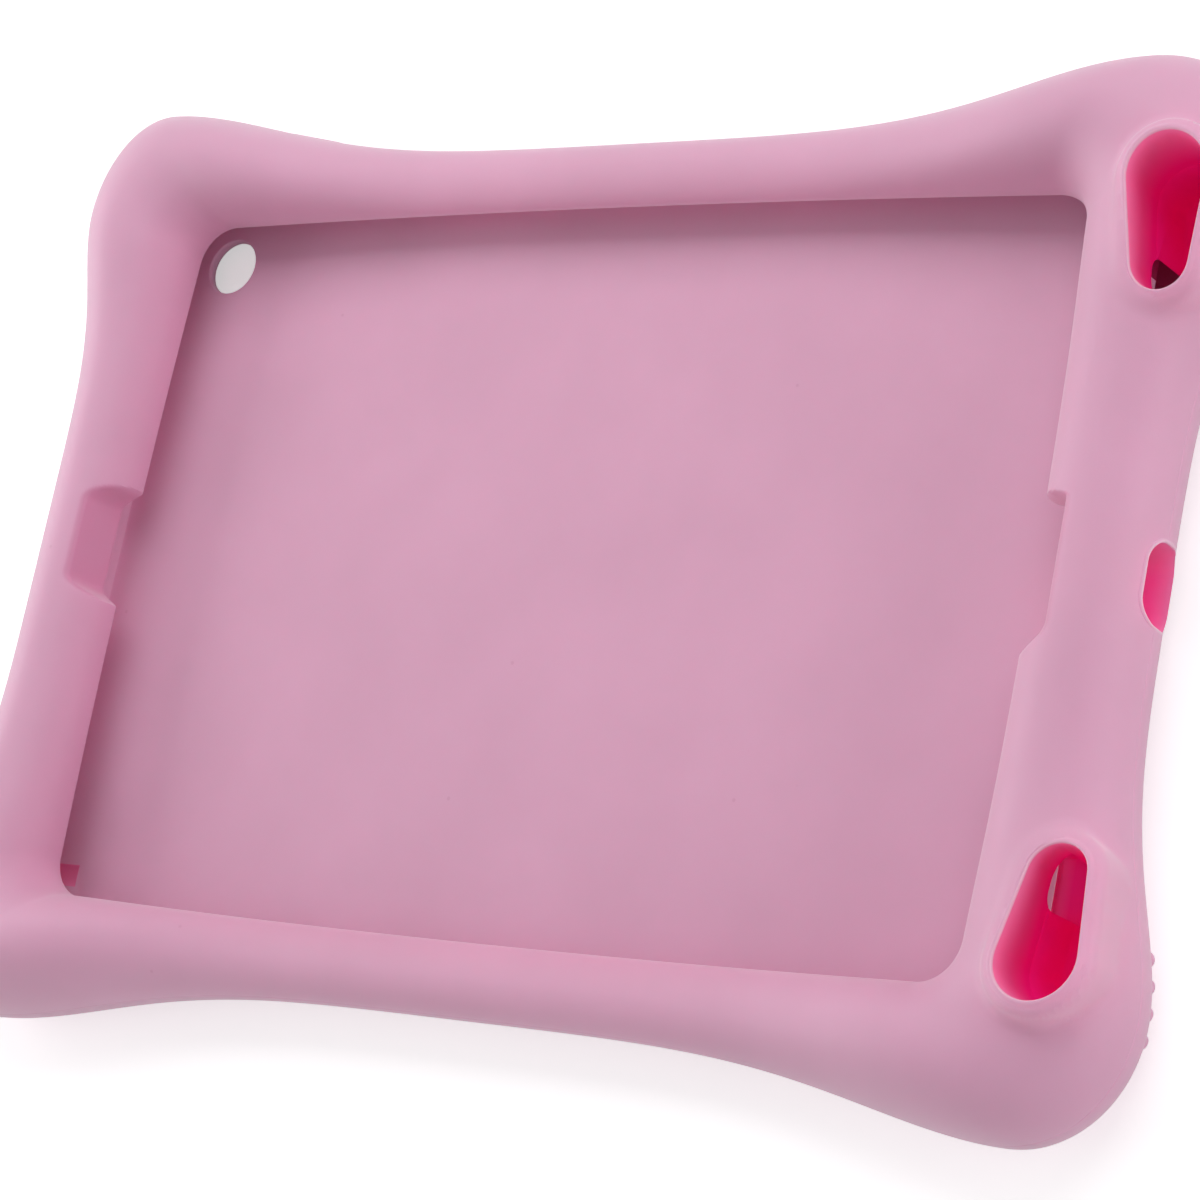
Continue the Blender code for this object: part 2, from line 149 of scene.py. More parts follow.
def sectionOf(place):
    # One cross-section: pocket floor, pocket wall, lip, crown, widest line, underside and back plate
    pocket, window, outer = place["pocket"], place["window"], place["outer"]
    inward = (window - outer).normalized()
    lipZ = case["glassZ"] + case["lipThickness"]
    topZ = case["glassZ"] + place["crown"]
    footZ = mix(case["plateZ"], case["footZ"], place["weight"])
    fillet, edge = case["floorFillet"], case["lipEdge"]
    points = [
        (pocket + inward * case["floorInset"], case["floorZ"]),
        (pocket + inward * fillet, case["floorZ"]),
        (pocket + inward * fillet * 0.3, case["floorZ"] + fillet * 0.3),
        (pocket, case["floorZ"] + fillet),
        (pocket, case["glassZ"]),
        (window - inward * edge, case["glassZ"]),
        (window - inward * edge * 0.3, case["glassZ"] + edge * 0.3),
        (window, case["glassZ"] + edge),
    ]
    for i in range(case["innerRings"] + 1):
        along, up = quarterArc(i / case["innerRings"], 2)
        points.append((window.lerp(outer, case["crownPlace"] * (1 - along)), mix(lipZ, topZ, up)))
    square = case["crownSquare"]
    rise = topZ - case["widestZ"]
    seamShare = math.acos((case["seamRise"] / rise) ** (square / 2)) / (math.pi / 2)
    crownArcs = [(quarterArc(seamShare * i / case["outerRings"], square), 0) for i in range(1, case["outerRings"])]
    for step, sink in ((2, 0), (1, 0.1), (0, 1), (-1, 0.1), (-2, 0)):  # the mould's parting line
        up = (case["seamRise"] + case["seamHalf"] * step) / rise
        crownArcs.append(((up, (1 - up**square) ** (1 / square)), sink * place["seam"]))
    for i in range(1, case["bandRings"] + 1):
        crownArcs.append((quarterArc(mix(seamShare, 1, i / case["bandRings"]), square), 0))
    for (up, along), sink in crownArcs:
        out = window.lerp(outer, mix(case["crownPlace"], 1, along))
        points.append((out + inward * case["seamDepth"] * sink, mix(case["widestZ"], topZ, up)))
    for i in range(1, case["underRings"] + 1):
        along, down = quarterArc(i / case["underRings"], case["underSquare"])
        points.append((outer + inward * case["underRound"] * (1 - along), mix(case["widestZ"], footZ, down)))
    foot = outer + inward * (case["underRound"] + case["footWidth"])
    for share in (0, 0.15, 0.35, 0.65, 0.85, 1, 1.5):
        points.append((foot + inward * case["footSlope"] * share, mix(footZ, case["plateZ"], ease(0, 1, share))))
    return [Vector((p.x, p.y, z)) for p, z in points]


# Raised bosses round the two sound wells, which the rim flows up to
wells = {
    "x": 136.3, "narrowY": 59.75, "length": 16.0, "narrowRadius": 6.0, "wideRadius": 8.2,
    "narrowTop": 14.6, "wideTop": 17.6, "draft": 1.6, "floorZ": 4.0, "floorRound": 3.0,
    "bossWall": 2.9, "bossRound": 2.2, "bossBlend": 3.0, "bossCrease": 0.5, "bossReach": 8.0, "fade": 5.0,
    "collarWidth": 1.2, "collarHeight": 0.5, "collarDepth": 3.0, "sleeveDepth": 6.0, "arcSteps": 40,
}


def beyondPill(x, y):
    along = min(max((abs(y) - wells["narrowY"]) / wells["length"], 0), 1)
    radius = mix(wells["narrowRadius"], wells["wideRadius"], along)
    return math.hypot(x - wells["x"], abs(y) - wells["narrowY"] - along * wells["length"]) - radius


def mouthZ(y):
    share = (abs(y) - wells["narrowY"]) / wells["length"]
    return case["glassZ"] + mix(wells["narrowTop"], wells["wideTop"], share)


def beyondBoss(point):
    aside = beyondPill(point.x, point.y) - wells["bossWall"] + wells["bossRound"]
    above = point.z - mouthZ(point.y) + wells["bossRound"]
    return math.hypot(max(aside, 0), max(above, 0)) + min(max(aside, above), 0) - wells["bossRound"]


def flowToBoss(point, core):
    # Moves a rim point out along its own spoke until it lies on the rim and boss blended together
    spoke = point - core
    rim = spoke.length
    if point.z <= case["widestZ"] or beyondPill(point.x, point.y) > wells["bossReach"]:
        return point
    spoke.normalize()
    blend = mix(wells["bossBlend"], wells["bossCrease"], ease(0, 6, point.x - wells["x"]))

    def beyond(reach):
        return softMin(reach - rim, beyondBoss(core + spoke * reach), blend)

    high = rim + 2 * wells["bossReach"]
    low = high
    while low > rim and beyond(low) > 0:
        high, low = low, low - 0.5
    if low <= rim:
        low = rim
    for _ in range(12):
        middle = (low + high) / 2
        if beyond(middle) > 0:
            high = middle
        else:
            low = middle
    return core + spoke * mix(rim, max(high, rim), ease(0, wells["fade"], point.z - case["widestZ"]))


# Notches in the lip: one for the front camera, one for the round button. Each side gives where the foot
# and the mouth lie along the end, and how round the corners are up at the crest
cameraNotch = {"depth": 6.5, "draft": 1.8, "corner": 2.0, "topRound": 1.4,
               "plusY": {"foot": 11.4, "mouth": 15.5, "crest": 3.0}, "minusY": {"foot": 9.4, "mouth": 13.5, "crest": 3.0}}
homeNotch = {"depth": 7.4, "draft": 1.8, "corner": 1.6, "topRound": 2.4,
             "plusY": {"foot": 14.0, "mouth": 15.8, "crest": 1.8}, "minusY": {"foot": 13.3, "mouth": 17.6, "crest": 4.0}}


def notchReach(y, z, notch):
    # How far the lip is cut back here, from nothing at the mouth to the full depth at the foot
    half = notch["plusY"] if y > 0 else notch["minusY"]
    corner = mix(notch["corner"], half["crest"], ease(1, 10, z - case["glassZ"]))
    rise = notch["depth"] * (half["mouth"] - abs(y)) / (half["mouth"] - half["foot"])
    reach = softMin(softMax(rise, 0, corner), notch["depth"], corner)
    tail = ease(half["mouth"] + 3, half["mouth"], abs(y)) * ease(half["foot"], half["mouth"], abs(y))
    return max(reach - corner / 4 * tail, 0)


def openNotch(point, notch, signY):
    reach = notchReach(signY * point.y, point.z, notch)
    if reach < 0.01 or point.z < case["glassZ"] - 0.01:
        return point
    share = min(reach / 2, 1)
    height = (point.z - case["glassZ"]) / case["crownEnd"]
    wall = case["windowX"] + reach + notch["draft"] * height * share
    soft = max(notch["topRound"] * share * ease(0, 4, point.z - case["glassZ"]), 0.01)
    return Vector((softMax(point.x, wall, soft), point.y, point.z))


# Low pads over the buttons, on the plain end and on the +Y side
powerPad = {"middle": (-139.5, 64.05, 9.6), "half": (6.0, 7.5, 3.2), "rise": 0.9}
volumePad = {"middle": (-90.3, 101.0, 9.6), "half": (11.5, 7.0, 3.2), "rise": 0.9}


def raisePad(point, core, pad):
    away = [abs(p - m) / h for p, m, h in zip(point, pad["middle"], pad["half"])]
    share = (away[0] ** 4 + away[1] ** 4 + away[2] ** 4) ** 0.25
    return point + (point - core).normalized() * pad["rise"] * ease(1.15, 0.75, share)


def moveRing(bm, edges, verts, points):
    grown = bmesh.ops.extrude_edge_only(bm, edges=edges)["geom"]
    fresh = {v for v in grown if isinstance(v, bmesh.types.BMVert)}
    ring = []
    for vert, point in zip(verts, points):
        above = next(e.other_vert(vert) for e in vert.link_edges if e.other_vert(vert) in fresh)
        above.co = point
        ring.append(above)
    return [e for e in grown if isinstance(e, bmesh.types.BMEdge) and all(v in fresh for v in e.verts)], ring


def ringStack(rings, closed=False):
    # A tube drawn out ring by ring from a circle, then capped at both ends or joined to itself
    bm = bmesh.new()
    bmesh.ops.create_circle(bm, cap_ends=False, radius=1, segments=len(rings[0]))
    bm.verts.ensure_lookup_table()
    firstEdges, ring = list(bm.edges), list(bm.verts)
    for vert, point in zip(ring, rings[0]):
        vert.co = point
    edges = firstEdges
    for points in rings[1:]:
        edges, ring = moveRing(bm, edges, ring, points)
    if closed:
        bmesh.ops.bridge_loops(bm, edges=firstEdges + edges)
    else:
        bmesh.ops.edgeloop_fill(bm, edges=firstEdges)
        bmesh.ops.edgeloop_fill(bm, edges=edges)
    bmesh.ops.recalc_face_normals(bm, faces=bm.faces)
    return bm


def meshObject(name, bm):
    mesh = bpy.data.meshes.new(name)
    bm.to_mesh(mesh)
    bm.free()
    obj = bpy.data.objects.new(name, mesh)
    bpy.context.scene.collection.objects.link(obj)
    return obj


def wholeOutline():
    port, plain = quarterStations(portEnd), quarterStations(plainEnd)
    outline = [(place, 1, 1) for place in port]
    outline += [(place, 1, -1) for place in reversed(port[1:])]
    outline += [(place, -1, -1) for place in plain[:-1]]
    outline += [(place, -1, 1) for place in reversed(plain[1:])]
    return outline


def bodyRings():
    columns = []
    for place, signX, signY in wholeOutline():
        middle = place["window"].lerp(place["outer"], case["crownPlace"])
        core = Vector((middle.x, middle.y, case["widestZ"]))
        column = []
        for point in sectionOf(place):
            if signX > 0:
                point = openNotch(flowToBoss(point, core), homeNotch, signY)
            else:
                point = openNotch(point, cameraNotch, signY)
            point = Vector((point.x * signX, point.y * signY, point.z))
            turned = Vector((core.x * signX, core.y * signY, core.z))
            for pad in (powerPad, volumePad):
                point = raisePad(point, turned, pad)
            column.append(point)
        columns.append(column)
    return list(zip(*columns))


bodyBm = ringStack(bodyRings())
body = meshObject("tablet_case", bodyBm)
print("moulded body:", len(body.data.polygons), "faces")
bodyTree = BVHTree.FromObject(body, bpy.context.evaluated_depsgraph_get())


# Sound wells, each with a low collar whose edges are rounded
def pillOutline(grow, side):
    narrow, wide = wells["narrowRadius"] + grow, wells["wideRadius"] + grow
    lean = math.asin((wide - narrow) / wells["length"])
    wideY = wells["narrowY"] + wells["length"]
    points = []
    for y, radius, start, stop in (
        (wideY, wide, -lean, math.pi + lean),
        (wells["narrowY"], narrow, math.pi + lean, 2 * math.pi - lean),
    ):
        for i in range(wells["arcSteps"] + 1):
            angle = mix(start, stop, i / wells["arcSteps"])
            points.append((wells["x"] + radius * math.cos(angle), side * (y + radius * math.sin(angle))))
    return points


def wellWall(z):
    return -wells["draft"] * max(mouthZ(wells["narrowY"]) - z, 0) / (mouthZ(wells["narrowY"]) - wells["floorZ"])


def wellCutter(side):
    floorZ, fillet = wells["floorZ"], wells["floorRound"]
    rings = []
    for grow, z in ((0.6, 60), (0.6, 19)):
        rings.append([Vector((x, y, z)) for x, y in pillOutline(grow, side)])
    for z in (17, 12, floorZ + fillet):
        rings.append([Vector((x, y, z)) for x, y in pillOutline(wellWall(z), side)])
    low = wellWall(floorZ + fillet)
    for i in range(1, 9):
        out, down = quarterArc(i / 8, 2)
        rings.append([Vector((x, y, floorZ + fillet * (1 - down))) for x, y in pillOutline(low - fillet * (1 - out), side)])
    return meshObject("wellCutter", ringStack(rings))


def wellCollar(side):
    width, height = wells["collarWidth"], wells["collarHeight"]
    sections = [
        (width + 0.7, -wells["collarDepth"]), (width + 0.7, -height), (width, 0.05 * height), (width - 0.2, 0.42 * height),
        (width - 0.4, 0.73 * height), (width - 0.6, 0.92 * height), (width - 0.8, height), (0.22, 0.92 * height),
        (0.1, 0.62 * height), (0.03, 0.25 * height), (0, -0.15),
    ]
    rings = [[Vector((x, y, mouthZ(y) + rise)) for x, y in pillOutline(grow, side)] for grow, rise in sections]
    for grow, z in ((wellWall(19), 19), (wellWall(17.5), 17.5), (0.8, 16.5), (1.0, 17.5)):
        rings.append([Vector((x, y, z)) for x, y in pillOutline(grow, side)])
    return meshObject("wellCollar", ringStack(rings, closed=True))


# Sound channels from the pocket's end wall into the wells
channel = {"offset": 1.8, "width": 12.0, "low": 5.6, "roof": 18.6, "round": 3.0, "innerX": 125.3}


def archOutline(halfWidth, low, high, radius, steps=10):
    points = [(-halfWidth, low), (halfWidth, low)]
    for start, sign in ((0, 1), (math.pi / 2, -1)):
        for i in range(steps + 1):
            angle = start + math.pi / 2 * i / steps
            points.append((sign * (halfWidth - radius) + radius * math.cos(angle), high - radius + radius * math.sin(angle)))
    return points


def channelCutter(side):
    middle = side * (wells["narrowY"] - channel["offset"])
    rings = []
    for x, grow in ((channel["innerX"], 0), (wells["x"] - 7.5, 0), (wells["x"] - 5, 0.6), (wells["x"] - 1, 2.5)):
        outline = archOutline(channel["width"] / 2 + grow, channel["low"], channel["roof"] + grow, channel["round"] + grow)
        rings.append([Vector((x, middle + y, z)) for y, z in outline])
    return meshObject("channelCutter", ringStack(rings))


# Charging port: a tunnel to the pocket, with a thin raised lip that follows the rim
port = {"width": 16.2, "height": 12.6, "corner": 4.8, "z": 11.4, "lipWidth": 0.8, "lipHeight": 0.4,
        "underRise": 1.2, "endDrop": 0.4, "steps": 10}


def portOutline(grow):
    radius = port["corner"] + grow
    halfY, halfZ = port["width"] / 2 - port["corner"], port["height"] / 2 - port["corner"]
    points = []
    for corner, (signY, signZ) in enumerate(((1, 1), (-1, 1), (-1, -1), (1, -1))):
        for i in range(port["steps"] + 1):
            angle = math.pi / 2 * (corner + i / port["steps"])
            points.append((signY * halfY + radius * math.cos(angle), port["z"] + signZ * halfZ + radius * math.sin(angle)))
    return points


def portCutter():
    rings = []
    for x, lowest in ((120.5, case["floorZ"]), (case["pocketX"] + 0.2, case["floorZ"]), (case["pocketX"] + 1.2, 0), (160, 0)):
        rings.append([Vector((x, y, max(z, lowest + 0.02))) for y, z in portOutline(0.4)])
    return meshObject("portCutter", ringStack(rings))


def portLip():
    width, height = port["lipWidth"], port["lipHeight"]
    sections = [
        (width, -2.5), (width, -0.1), (width - 0.04, 0.4 * height), (width - 0.2, 0.85 * height), (0.42, height),
        (0.22, 0.92 * height), (0.06, 0.6 * height), (0, 0), (0, -3.0),
    ]
    rings = []
    for grow, rise in sections:
        ring = []
        for y, z in portOutline(grow):
            below = ease(-1, port["height"] / 2, port["z"] - z)
            middle = port["underRise"] * below * ease(8.5, 4, abs(y))
            corner = -port["endDrop"] * ease(2, 8, abs(y)) * ease(5, 0, z - port["z"])
            place = bodyTree.ray_cast(Vector((case["pocketX"] + 4, y, z)), Vector((1, 0, 0)))[0]
            ring.append(place + Vector((rise + (middle + corner if rise > -1 else 0), 0, 0)))
        rings.append(ring)
    for x, grow in ((case["pocketX"] + 2.5, 0), (case["pocketX"] + 1.5, 0.3), (case["pocketX"] + 1.5, 0.8), (132, 0.8)):
        rings.append([Vector((x, y, z)) for y, z in portOutline(grow)])
    return meshObject("portLip", ringStack(rings, closed=True))


# Holes for the rear camera and the headphone plug
lens = {"x": -111.8, "y": 73.55, "radius": 6.5, "flare": 2.0}
jack = {"y": -73.55, "z": 9.55, "radius": 4.5, "flare": 1.0}


def circleOutline(radius, steps=64):
    return [(radius * math.cos(2 * math.pi * i / steps), radius * math.sin(2 * math.pi * i / steps)) for i in range(steps)]


def lensCutter():
    rings = []
    for grow, z in ((3.2, 0.8), (2.0, 2.2), (0.9, 2.9), (0.3, 3.4), (0, 4.0), (0, 5.2), (0.15, 5.6), (0.6, 6.1), (0.6, 9)):
        rings.append([Vector((lens["x"] + x, lens["y"] + y, z)) for x, y in circleOutline(lens["radius"] + grow)])
    return meshObject("lensCutter", ringStack(rings))


def jackCutter():
    wallX = bodyTree.ray_cast(Vector((-132, jack["y"], jack["z"])), Vector((-1, 0, 0)))[0].x
    rings = []
    for grow, x in ((2.4, wallX - 6), (1.0, wallX + 0.2), (0.35, wallX + 0.7), (0, wallX + 1.4), (0, -case["pocketX"] + 10)):
        rings.append([Vector((x, jack["y"] + y, jack["z"] + z)) for y, z in circleOutline(jack["radius"] + grow)])
    return meshObject("jackCutter", ringStack(rings))


# Grip ribs across the underside of each corner bulb
ribs = {"firstY": 69.55, "pitch": 5.0, "count": 4, "axisX": 130.6, "inner": -25, "outer": 76,
        "radius": 1.8, "rise": 1.15, "steps": 26, "sides": 20}


def gripRibs():
    bm = bmesh.new()
    for signX in (1, -1):
        for signY in (1, -1):
            for index in range(ribs["count"]):
                y = signY * (ribs["firstY"] + index * ribs["pitch"])
                path = []
                for i in range(ribs["steps"] + 1):
                    angle = math.radians(mix(ribs["inner"], ribs["outer"], i / ribs["steps"]))
                    spoke = Vector((signX * math.sin(angle), 0, -math.cos(angle)))
                    place = bodyTree.ray_cast(Vector((signX * ribs["axisX"], y, case["widestZ"])), spoke)[0]
                    path.append(place - spoke * (ribs["radius"] - ribs["rise"]))
                rings = []
                for i, place in enumerate(path):
                    along = (path[min(i + 1, ribs["steps"])] - path[max(i - 1, 0)]).normalized()
                    outward = along.cross(Vector((0, 1, 0))).normalized()
                    ends = min(i, ribs["steps"] - i) / 3
                    radius = ribs["radius"] * math.sqrt(max(1 - (1 - min(ends, 1)) ** 2, 0.04))
                    rings.append([
                        place + outward * radius * math.cos(a) + Vector((0, radius * math.sin(a), 0))
                        for a in (2 * math.pi * k / ribs["sides"] for k in range(ribs["sides"]))
                    ])
                part = ringStack(rings)
                holder = bpy.data.meshes.new("rib")
                part.to_mesh(holder)
                part.free()
                bm.from_mesh(holder)
                bpy.data.meshes.remove(holder)
    return meshObject("gripRibs", bm)


def combine(target, helper, operation):
    modifier = target.modifiers.new(helper.name, "BOOLEAN")
    modifier.object = helper
    modifier.operation = operation
    modifier.solver = "EXACT"


helpers = []
steps = [(gripRibs(), "UNION"), (portCutter(), "DIFFERENCE"), (portLip(), "UNION")]
for side in (1, -1):
    steps += [(wellCutter(side), "DIFFERENCE"), (wellCollar(side), "UNION"), (channelCutter(side), "DIFFERENCE")]
steps += [(lensCutter(), "DIFFERENCE"), (jackCutter(), "DIFFERENCE")]
for helper, operation in steps:
    combine(body, helper, operation)
    helpers.append(helper)
bpy.context.view_layer.update()
solid = bpy.data.meshes.new_from_object(body.evaluated_get(bpy.context.evaluated_depsgraph_get()))
body.modifiers.clear()
for helper in helpers:
    bpy.data.objects.remove(helper, do_unlink=True)
print("openings cut:", len(solid.polygons), "faces")


# Settings for the colour masks: painted shade and painted glow in the cavities, painted shade on the lip and notch
# walls, painted highlights on the lip edges
cavity = {"wellFade": 3.4, "portFade": 10.0, "portDeep": 0.8, "lipWide": 0.12, "lipFade": 0.36, "start": 0.02,
          "rimShade": 0.45, "rimFade": 8.0}


def beyondPort(y, z):
    radius = port["corner"]
    asideY = abs(y) - port["width"] / 2 + radius
    asideZ = abs(z - port["z"]) - port["height"] / 2 + radius
    return math.hypot(max(asideY, 0), max(asideZ, 0)) + min(max(asideY, asideZ), 0) - radius


def hollowness(point):
    # 0 on the outside, 1 deep inside a well, channel, port or plug hole; this mask sets the painted shade and painted
    # glow there
    x, y, z = point
    if x > 126.5 and beyondPill(x, y) < 0.1 and z > wells["floorZ"] - 0.1:
        return ease(0.1, cavity["wellFade"], mouthZ(y) + 0.2 - z)
    beside = abs(abs(y) - wells["narrowY"] + channel["offset"]) - channel["width"] / 2
    if channel["innerX"] - 0.05 < x < 127 and beside < 0.03 and channel["low"] - 0.03 < z < channel["roof"] + 0.03:
        return 1.0 if x > case["pocketX"] + 0.02 or z > case["glassZ"] + 0.05 else 0.5
    if 126.9 < x < 133 and beside < 3.5 and channel["low"] - 0.03 < z < channel["roof"] + 3:
        return 1.0
    if x > 121.5 and beyondPort(y, z) < (0.46 if x < 128 else 0.06):
        # The port's painted shade is weaker towards +Y, a painted lighter side where the light falls
        return cavity["portDeep"] * ease(0, cavity["portFade"], 141.3 - x) * (1 - 0.5 * ease(2, 8, y))
    if x < -case["pocketX"] - 0.02 and math.hypot(y - jack["y"], z - jack["z"]) < jack["radius"] + 0.06:
        return ease(0.3, 4.0, x + 143)
    return 0.0


def paintedLipShade(point):
    # Painted shade mask: 1 on the lip and in the notches, fading up the wall that faces the window
    x, y, z = point
    if z < case["glassZ"] - 0.2 or z > case["glassZ"] + 20:
        return 0.0
    asideX = abs(x) - case["windowX"] - case["windowBow"] + case["windowRound"]
    asideY = abs(y) - case["windowY"] - case["windowBow"] + case["windowRound"]
    beyond = math.hypot(max(asideX, 0), max(asideY, 0)) + min(max(asideX, asideY), 0) - case["windowRound"]
    shade = cavity["rimShade"] * ease(cavity["rimFade"], 0, beyond)
    notch = homeNotch if x > 0 else cameraNotch
    reach = notchReach(y, z, notch)
    if reach > 0.3:
        wall = case["windowX"] + reach + notch["draft"] * (z - case["glassZ"]) / case["crownEnd"]
        shade = max(shade, min(reach / 3, 1) * ease(1.6, 0.3, abs(x) - wall))
    return shade


def paintedLipHighlight(point):
    # Painted highlight mask: 1 along the thin inner edges of the well collars and of the port's lip
    x, y, z = point
    if x > 126.5 and abs(beyondPill(x, y)) < 1.5:
        away = math.hypot(beyondPill(x, y) - 0.12, z - mouthZ(y) - 0.3)
    elif x > 137 and abs(beyondPort(y, z)) < 1.5:
        away = abs(beyondPort(y, z) - 0.3)
    else:
        return 0.0
    return ease(cavity["lipFade"], cavity["lipWide"], away)


bm = bmesh.new()
bm.from_mesh(solid)
bmesh.ops.remove_doubles(bm, verts=bm.verts, dist=0.002)
# Per-vertex masks for the colour: painted shade and painted glow inside the cavities, a painted highlight on the lip
# edges, painted shade on the lip and notch walls
depth = bm.verts.layers.float.new("hollow")
painted_highlight = bm.verts.layers.float.new("painted_highlight")
inner = bm.verts.layers.float.new("inner")
for vert in bm.verts:
    vert[depth] = hollowness(vert.co)
    vert[painted_highlight] = paintedLipHighlight(vert.co)
    vert[inner] = paintedLipShade(vert.co)
# Faces inside the cavities take the second material, which holds the painted shade and the painted glow
for face in bm.faces:
    face.material_index = 1 if hollowness(face.calc_center_median()) > cavity["start"] else 0
bmesh.ops.translate(bm, verts=bm.verts, vec=(case["middleX"], 0, 0))
bmesh.ops.scale(bm, verts=bm.verts, vec=(0.001, 0.001, 0.001))
bm.to_mesh(body.data)
bm.free()
bpy.data.meshes.remove(solid)
body.data.shade_smooth()
body.data.set_sharp_from_angle(angle=math.radians(32))


# Silicone: translucent pink rubber with a matt skin; inside the wells and the port the colour is painted deeper as
# painted shade, with a painted glow and a clearer skin without sheen
silicone = {
    "colour": (0.755, 0.375, 0.548, 1), "paintedShadeColour": (0.66, 0.26, 0.42, 1), "paintedHighlightColour": (0.84, 0.53, 0.67, 1),
    "mottle": 0.035, "roughness": 0.52, "scatter": 0.4, "radius": (0.009, 0.0025, 0.004), "grain": 0.05,
    "sheen": 0.6, "sheenRoughness": 0.5, "speckColour": (0.60, 0.24, 0.38, 1), "specks": 0.35,
}
# Inside colours: shallow to deep is painted shade, and the glow colour is a painted glow
insideSilicone = {"shallow": (0.90, 0.24, 0.46, 1), "deep": (0.97, 0.02, 0.36, 1), "roughness": 0.6, "specular": 0.15,
                  "paintedGlowColour": (0.92, 0.0, 0.13, 1), "glow": 0.06}


def mixColour(nodes, links, factor, low, high):
    blend = nodes.new("ShaderNodeMix")
    blend.data_type = "RGBA"
    links.new(factor, blend.inputs["Factor"])
    for socket, colour in (("A", low), ("B", high)):
        if isinstance(colour, tuple):
            blend.inputs[socket].default_value = colour
        else:
            links.new(colour, blend.inputs[socket])
    return blend.outputs["Result"]


def attribute(nodes, name):
    node = nodes.new("ShaderNodeAttribute")
    node.attribute_name = name
    return node.outputs["Fac"]


def noise(nodes, links, place, scale, detail):
    node = nodes.new("ShaderNodeTexNoise")
    node.inputs["Scale"].default_value = scale
    node.inputs["Detail"].default_value = detail
    links.new(place, node.inputs["Vector"])
    return node.outputs["Fac"]


def rangeOf(nodes, links, value, low, high, toLow, toHigh):
    node = nodes.new("ShaderNodeMapRange")
    for socket, number in (("From Min", low), ("From Max", high), ("To Min", toLow), ("To Max", toHigh)):
        node.inputs[socket].default_value = number
    links.new(value, node.inputs["Value"])
    return node.outputs["Result"]


def makeSilicone(name, inside):
    material = bpy.data.materials.new(name)
    material.use_nodes = True
    nodes, links = material.node_tree.nodes, material.node_tree.links
    shader = nodes["Principled BSDF"]
    shader.subsurface_method = "BURLEY"
    place = nodes.new("ShaderNodeTexCoord").outputs["Object"]
    if inside:
        # Painted shade: the colour goes deeper and more saturated down the hollow mask
        colour = mixColour(nodes, links, attribute(nodes, "hollow"), insideSilicone["shallow"], insideSilicone["deep"])
    else:
        dots = nodes.new("ShaderNodeTexVoronoi")  # a few dust specks, each well under a millimetre
        dots.inputs["Scale"].default_value = 55
        links.new(place, dots.inputs["Vector"])
        speck = rangeOf(nodes, links, dots.outputs["Distance"], 0.016, 0.030, silicone["specks"], 0)
        colour = mixColour(nodes, links, speck, silicone["colour"], silicone["speckColour"])
        # Painted shade: the lip and notch walls are mixed towards a darker, more saturated pink
        colour = mixColour(nodes, links, attribute(nodes, "inner"), colour, silicone["paintedShadeColour"])
        # Painted highlight: the collar and port lip edges are mixed towards a paler pink
        colour = mixColour(nodes, links, attribute(nodes, "painted_highlight"), colour, silicone["paintedHighlightColour"])
    clouds = noise(nodes, links, place, 28, 3)
    shade = rangeOf(nodes, links, clouds, 0.3, 0.7, 1 - silicone["mottle"], 1 + silicone["mottle"])
    scaled = nodes.new("ShaderNodeVectorMath")
    scaled.operation = "SCALE"
    links.new(colour, scaled.inputs[0])
    links.new(shade, scaled.inputs["Scale"])
    links.new(scaled.outputs["Vector"], shader.inputs["Base Color"])

    bump = nodes.new("ShaderNodeBump")
    bump.inputs["Strength"].default_value = silicone["grain"]
    bump.inputs["Distance"].default_value = 0.0002
    links.new(noise(nodes, links, place, 2600, 2), bump.inputs["Height"])
    links.new(bump.outputs["Normal"], shader.inputs["Normal"])

    shader.inputs["Roughness"].default_value = insideSilicone["roughness"] if inside else silicone["roughness"]
    shader.inputs["IOR"].default_value = 1.42
    shader.inputs["Subsurface Weight"].default_value = silicone["scatter"]
    shader.inputs["Subsurface Radius"].default_value = silicone["radius"]
    shader.inputs["Subsurface Scale"].default_value = 1.0
    if inside:
        shader.inputs["Specular IOR Level"].default_value = insideSilicone["specular"]
        shader.inputs["Emission Color"].default_value = insideSilicone["paintedGlowColour"]  # painted glow in place of light let through the rubber
        # Painted glow: the emission strength grows with the hollow mask
        glow = rangeOf(nodes, links, attribute(nodes, "hollow"), 0, 1, 0, insideSilicone["glow"])
        links.new(glow, shader.inputs["Emission Strength"])
    else:
        shader.inputs["Sheen Weight"].default_value = silicone["sheen"]
        shader.inputs["Sheen Roughness"].default_value = silicone["sheenRoughness"]
        shader.inputs["Sheen Tint"].default_value = (1, 0.95, 0.98, 1)
    return material


body.data.materials.append(makeSilicone("pinkSilicone", False))
body.data.materials.append(makeSilicone("pinkSiliconeInsidePaintedShade", True))
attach(body, "root")
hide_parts("case_body")
print("silicone done:", len(body.data.polygons), "faces")


# White floor and soft studio light
studio = {
    "floorSize": 6.0, "floorColour": (0.9, 0.9, 0.9, 1), "floorGlow": 0.5, "worldStrength": 0.26,
    "topPower": 8.6, "leftPower": 6.6, "rightPower": 4.1, "frontPower": 2.2,
}


def softLamp(name, place, target, size, power):
    lamp = bpy.data.lights.new(name, "AREA")
    lamp.shape = "RECTANGLE"
    lamp.size, lamp.size_y = size
    lamp.energy = power
    obj = bpy.data.objects.new(name, lamp)
    obj.location = place
    obj.rotation_euler = (Vector(target) - Vector(place)).to_track_quat("-Z", "Y").to_euler()
    bpy.context.scene.collection.objects.link(obj)
    return obj


